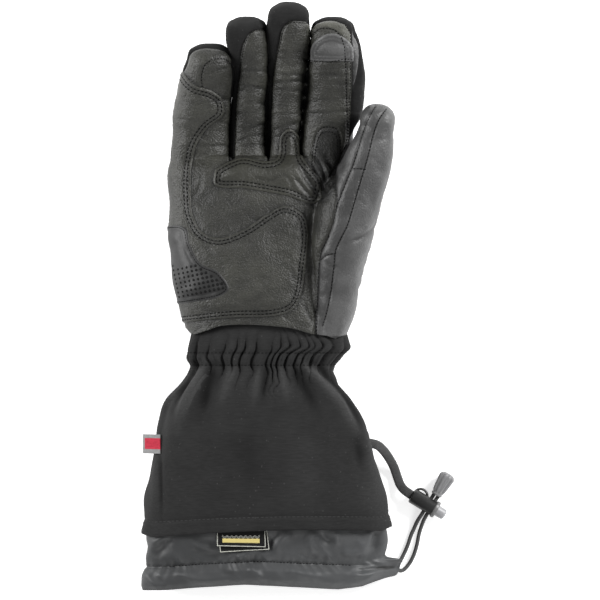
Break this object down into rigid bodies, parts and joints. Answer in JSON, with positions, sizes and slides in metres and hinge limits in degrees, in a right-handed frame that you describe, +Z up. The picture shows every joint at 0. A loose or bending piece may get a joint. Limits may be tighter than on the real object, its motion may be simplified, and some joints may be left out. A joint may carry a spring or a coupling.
{
  "type": "heated glove",
  "caption": "Padded right-hand leather winter glove with a long gathered gauntlet, an inner cuff, a drawcord and a cord lock, lying palm up.",
  "frame": {"origin": "on the surface that the glove lies on, below the middle of the glove without its cords", "axes": "+Y towards the fingertips, +X to the thumb side, +Z up out of the palm"},
  "size_m": [0.1988, 0.3672, 0.0567],
  "materials": {
    "palm_leather": "satin grained goat leather",
    "thumb_leather": "satin grained leather",
    "patch_leather": "satin leather patch",
    "smooth_patch": "smooth matt patch with raised dots",
    "touch_leather": "smooth touch leather",
    "softshell": "matt woven softshell",
    "nylon": "thin crumpled nylon",
    "label": "woven label",
    "tag": "woven tag",
    "cord": "braided polyester",
    "lock_plastic": "moulded plastic",
    "button_plastic": "moulded plastic",
    "bell_rubber": "moulded ribbed plastic"
  },
  "bodies": {
    "glove": {"palm_leather": "palm_leather", "hand_back": "softshell", "little_back": "softshell", "ring_back": "softshell", "middle_back": "softshell", "index_back": "softshell", "thumb_leather": "thumb_leather", "side_panel": "palm_leather", "knuckle_patch": "patch_leather", "heel_patch": "smooth_patch", "index_tip": "touch_leather", "gauntlet": "softshell", "inner_cuff": "nylon", "label_front": "label", "label_back": "label", "side_tag": "tag", "tether_cord": "cord", "drawcord_a": "cord", "drawcord_b": "cord", "lock_barrel": "lock_plastic", "cord_end": "bell_rubber"},
    "button": {"lock_button": "button_plastic"}
  },
  "joints": [
    {"name": "button_press", "type": "slide", "parent": "glove", "child": "button", "axis": [-0.8541, 0.5201, 0], "range_m": [0, 0.0022], "stiffness_N_per_m": 300}
  ]
}
